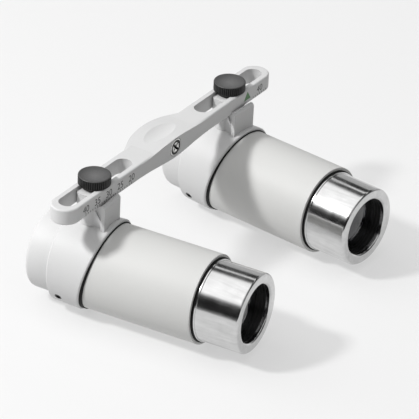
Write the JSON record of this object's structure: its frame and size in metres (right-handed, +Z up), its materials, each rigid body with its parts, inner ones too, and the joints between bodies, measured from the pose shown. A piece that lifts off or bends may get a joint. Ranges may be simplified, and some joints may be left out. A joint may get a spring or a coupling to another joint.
{
  "type": "dental loupes",
  "caption": "Binocular prism telescope unit for dental loupes: converging barrels clamped by thumb knobs along a slotted bridge bar with a rear frame socket.",
  "frame": {"origin": "mouth of the frame socket, in the middle of the back of the bridge bar's hub", "axes": "+X along the bridge bar, towards the wearer's right-hand barrel as seen from the front; +Y out of the frame socket, towards the wearer; +Z up"},
  "size_m": [0.0944, 0.0628, 0.0381],
  "materials": {
    "bar_plastic": "fine moulded satin",
    "housing_plastic": "fine moulded satin",
    "tube_enamel": "smooth satin white enamel",
    "polished_cell": "polished, with a satin front ring",
    "knob_plastic": "black, fine knurl, satin top",
    "black_plastic": "black moulded",
    "black_ring": "matt black anodised",
    "seal_rubber": "black",
    "lens_glass": "coated optical glass",
    "prism_glass": "optical glass, ground edges",
    "screw_steel": "turned, nickel plated",
    "bush_steel": "turned",
    "black_screw": "blackened",
    "brass": "turned"
  },
  "bodies": {
    "bridge": {"bridge_bar": "bar_plastic", "frame_bush": "bush_steel", "centre_screw": "screw_steel"},
    "left_carriage": {"left_carrier": "housing_plastic", "left_thread_insert": "brass", "left_grub_screw": "black_screw", "left_eyepiece_cap": "housing_plastic", "left_eyepiece_retainer": "black_ring", "left_eye_lens": "lens_glass", "left_eyepiece_spacer": "black_ring", "left_field_lens": "lens_glass", "left_field_stop": "black_ring", "left_prism_holder": "black_plastic", "left_roof_prism": "prism_glass", "left_half_prism": "prism_glass", "left_barrel_tube": "tube_enamel", "left_seal_ring": "seal_rubber", "left_objective_cell": "polished_cell", "left_objective_baffle": "black_ring", "left_objective_crown": "lens_glass", "left_objective_flint": "lens_glass", "left_objective_retainer": "black_ring"},
    "left_collar": {"left_clamp_collar": "black_plastic"},
    "left_knob": {"left_thumb_knob": "knob_plastic", "left_knob_stud": "screw_steel"},
    "right_carriage": {"right_carrier": "housing_plastic", "right_thread_insert": "brass", "right_grub_screw": "black_screw", "right_eyepiece_cap": "housing_plastic", "right_eyepiece_retainer": "black_ring", "right_eye_lens": "lens_glass", "right_eyepiece_spacer": "black_ring", "right_field_lens": "lens_glass", "right_field_stop": "black_ring", "right_prism_holder": "black_plastic", "right_roof_prism": "prism_glass", "right_half_prism": "prism_glass", "right_barrel_tube": "tube_enamel", "right_seal_ring": "seal_rubber", "right_objective_cell": "polished_cell", "right_objective_baffle": "black_ring", "right_objective_crown": "lens_glass", "right_objective_flint": "lens_glass", "right_objective_retainer": "black_ring"},
    "right_collar": {"right_clamp_collar": "black_plastic"},
    "right_knob": {"right_thumb_knob": "knob_plastic", "right_knob_stud": "screw_steel"}
  },
  "joints": [
    {"name": "left_slide", "type": "slide", "parent": "bridge", "child": "left_carriage", "axis": [1, 0, 0], "range_m": [-0.0079, 0.009]},
    {"name": "left_collar_lift", "type": "slide", "parent": "left_carriage", "child": "left_collar", "axis": [0, 0, 1], "range_m": [0, 0.0005]},
    {"name": "left_knob_turn", "type": "hinge", "parent": "left_collar", "child": "left_knob", "pos_m": [-0.031, -0.0066, 0.0022], "axis": [0, 0, 1], "range_deg": [0, 360]},
    {"name": "right_slide", "type": "slide", "parent": "bridge", "child": "right_carriage", "axis": [1, 0, 0], "range_m": [-0.009, 0.0079]},
    {"name": "right_collar_lift", "type": "slide", "parent": "right_carriage", "child": "right_collar", "axis": [0, 0, 1], "range_m": [0, 0.0005]},
    {"name": "right_knob_turn", "type": "hinge", "parent": "right_collar", "child": "right_knob", "pos_m": [0.031, -0.0066, 0.0022], "axis": [0, 0, 1], "range_deg": [0, 360]}
  ],
  "couplings": [
    {"joint": "left_knob_turn", "follows": "left_collar_lift", "rad_per_m": 12566},
    {"joint": "right_knob_turn", "follows": "right_collar_lift", "rad_per_m": 12566}
  ]
}
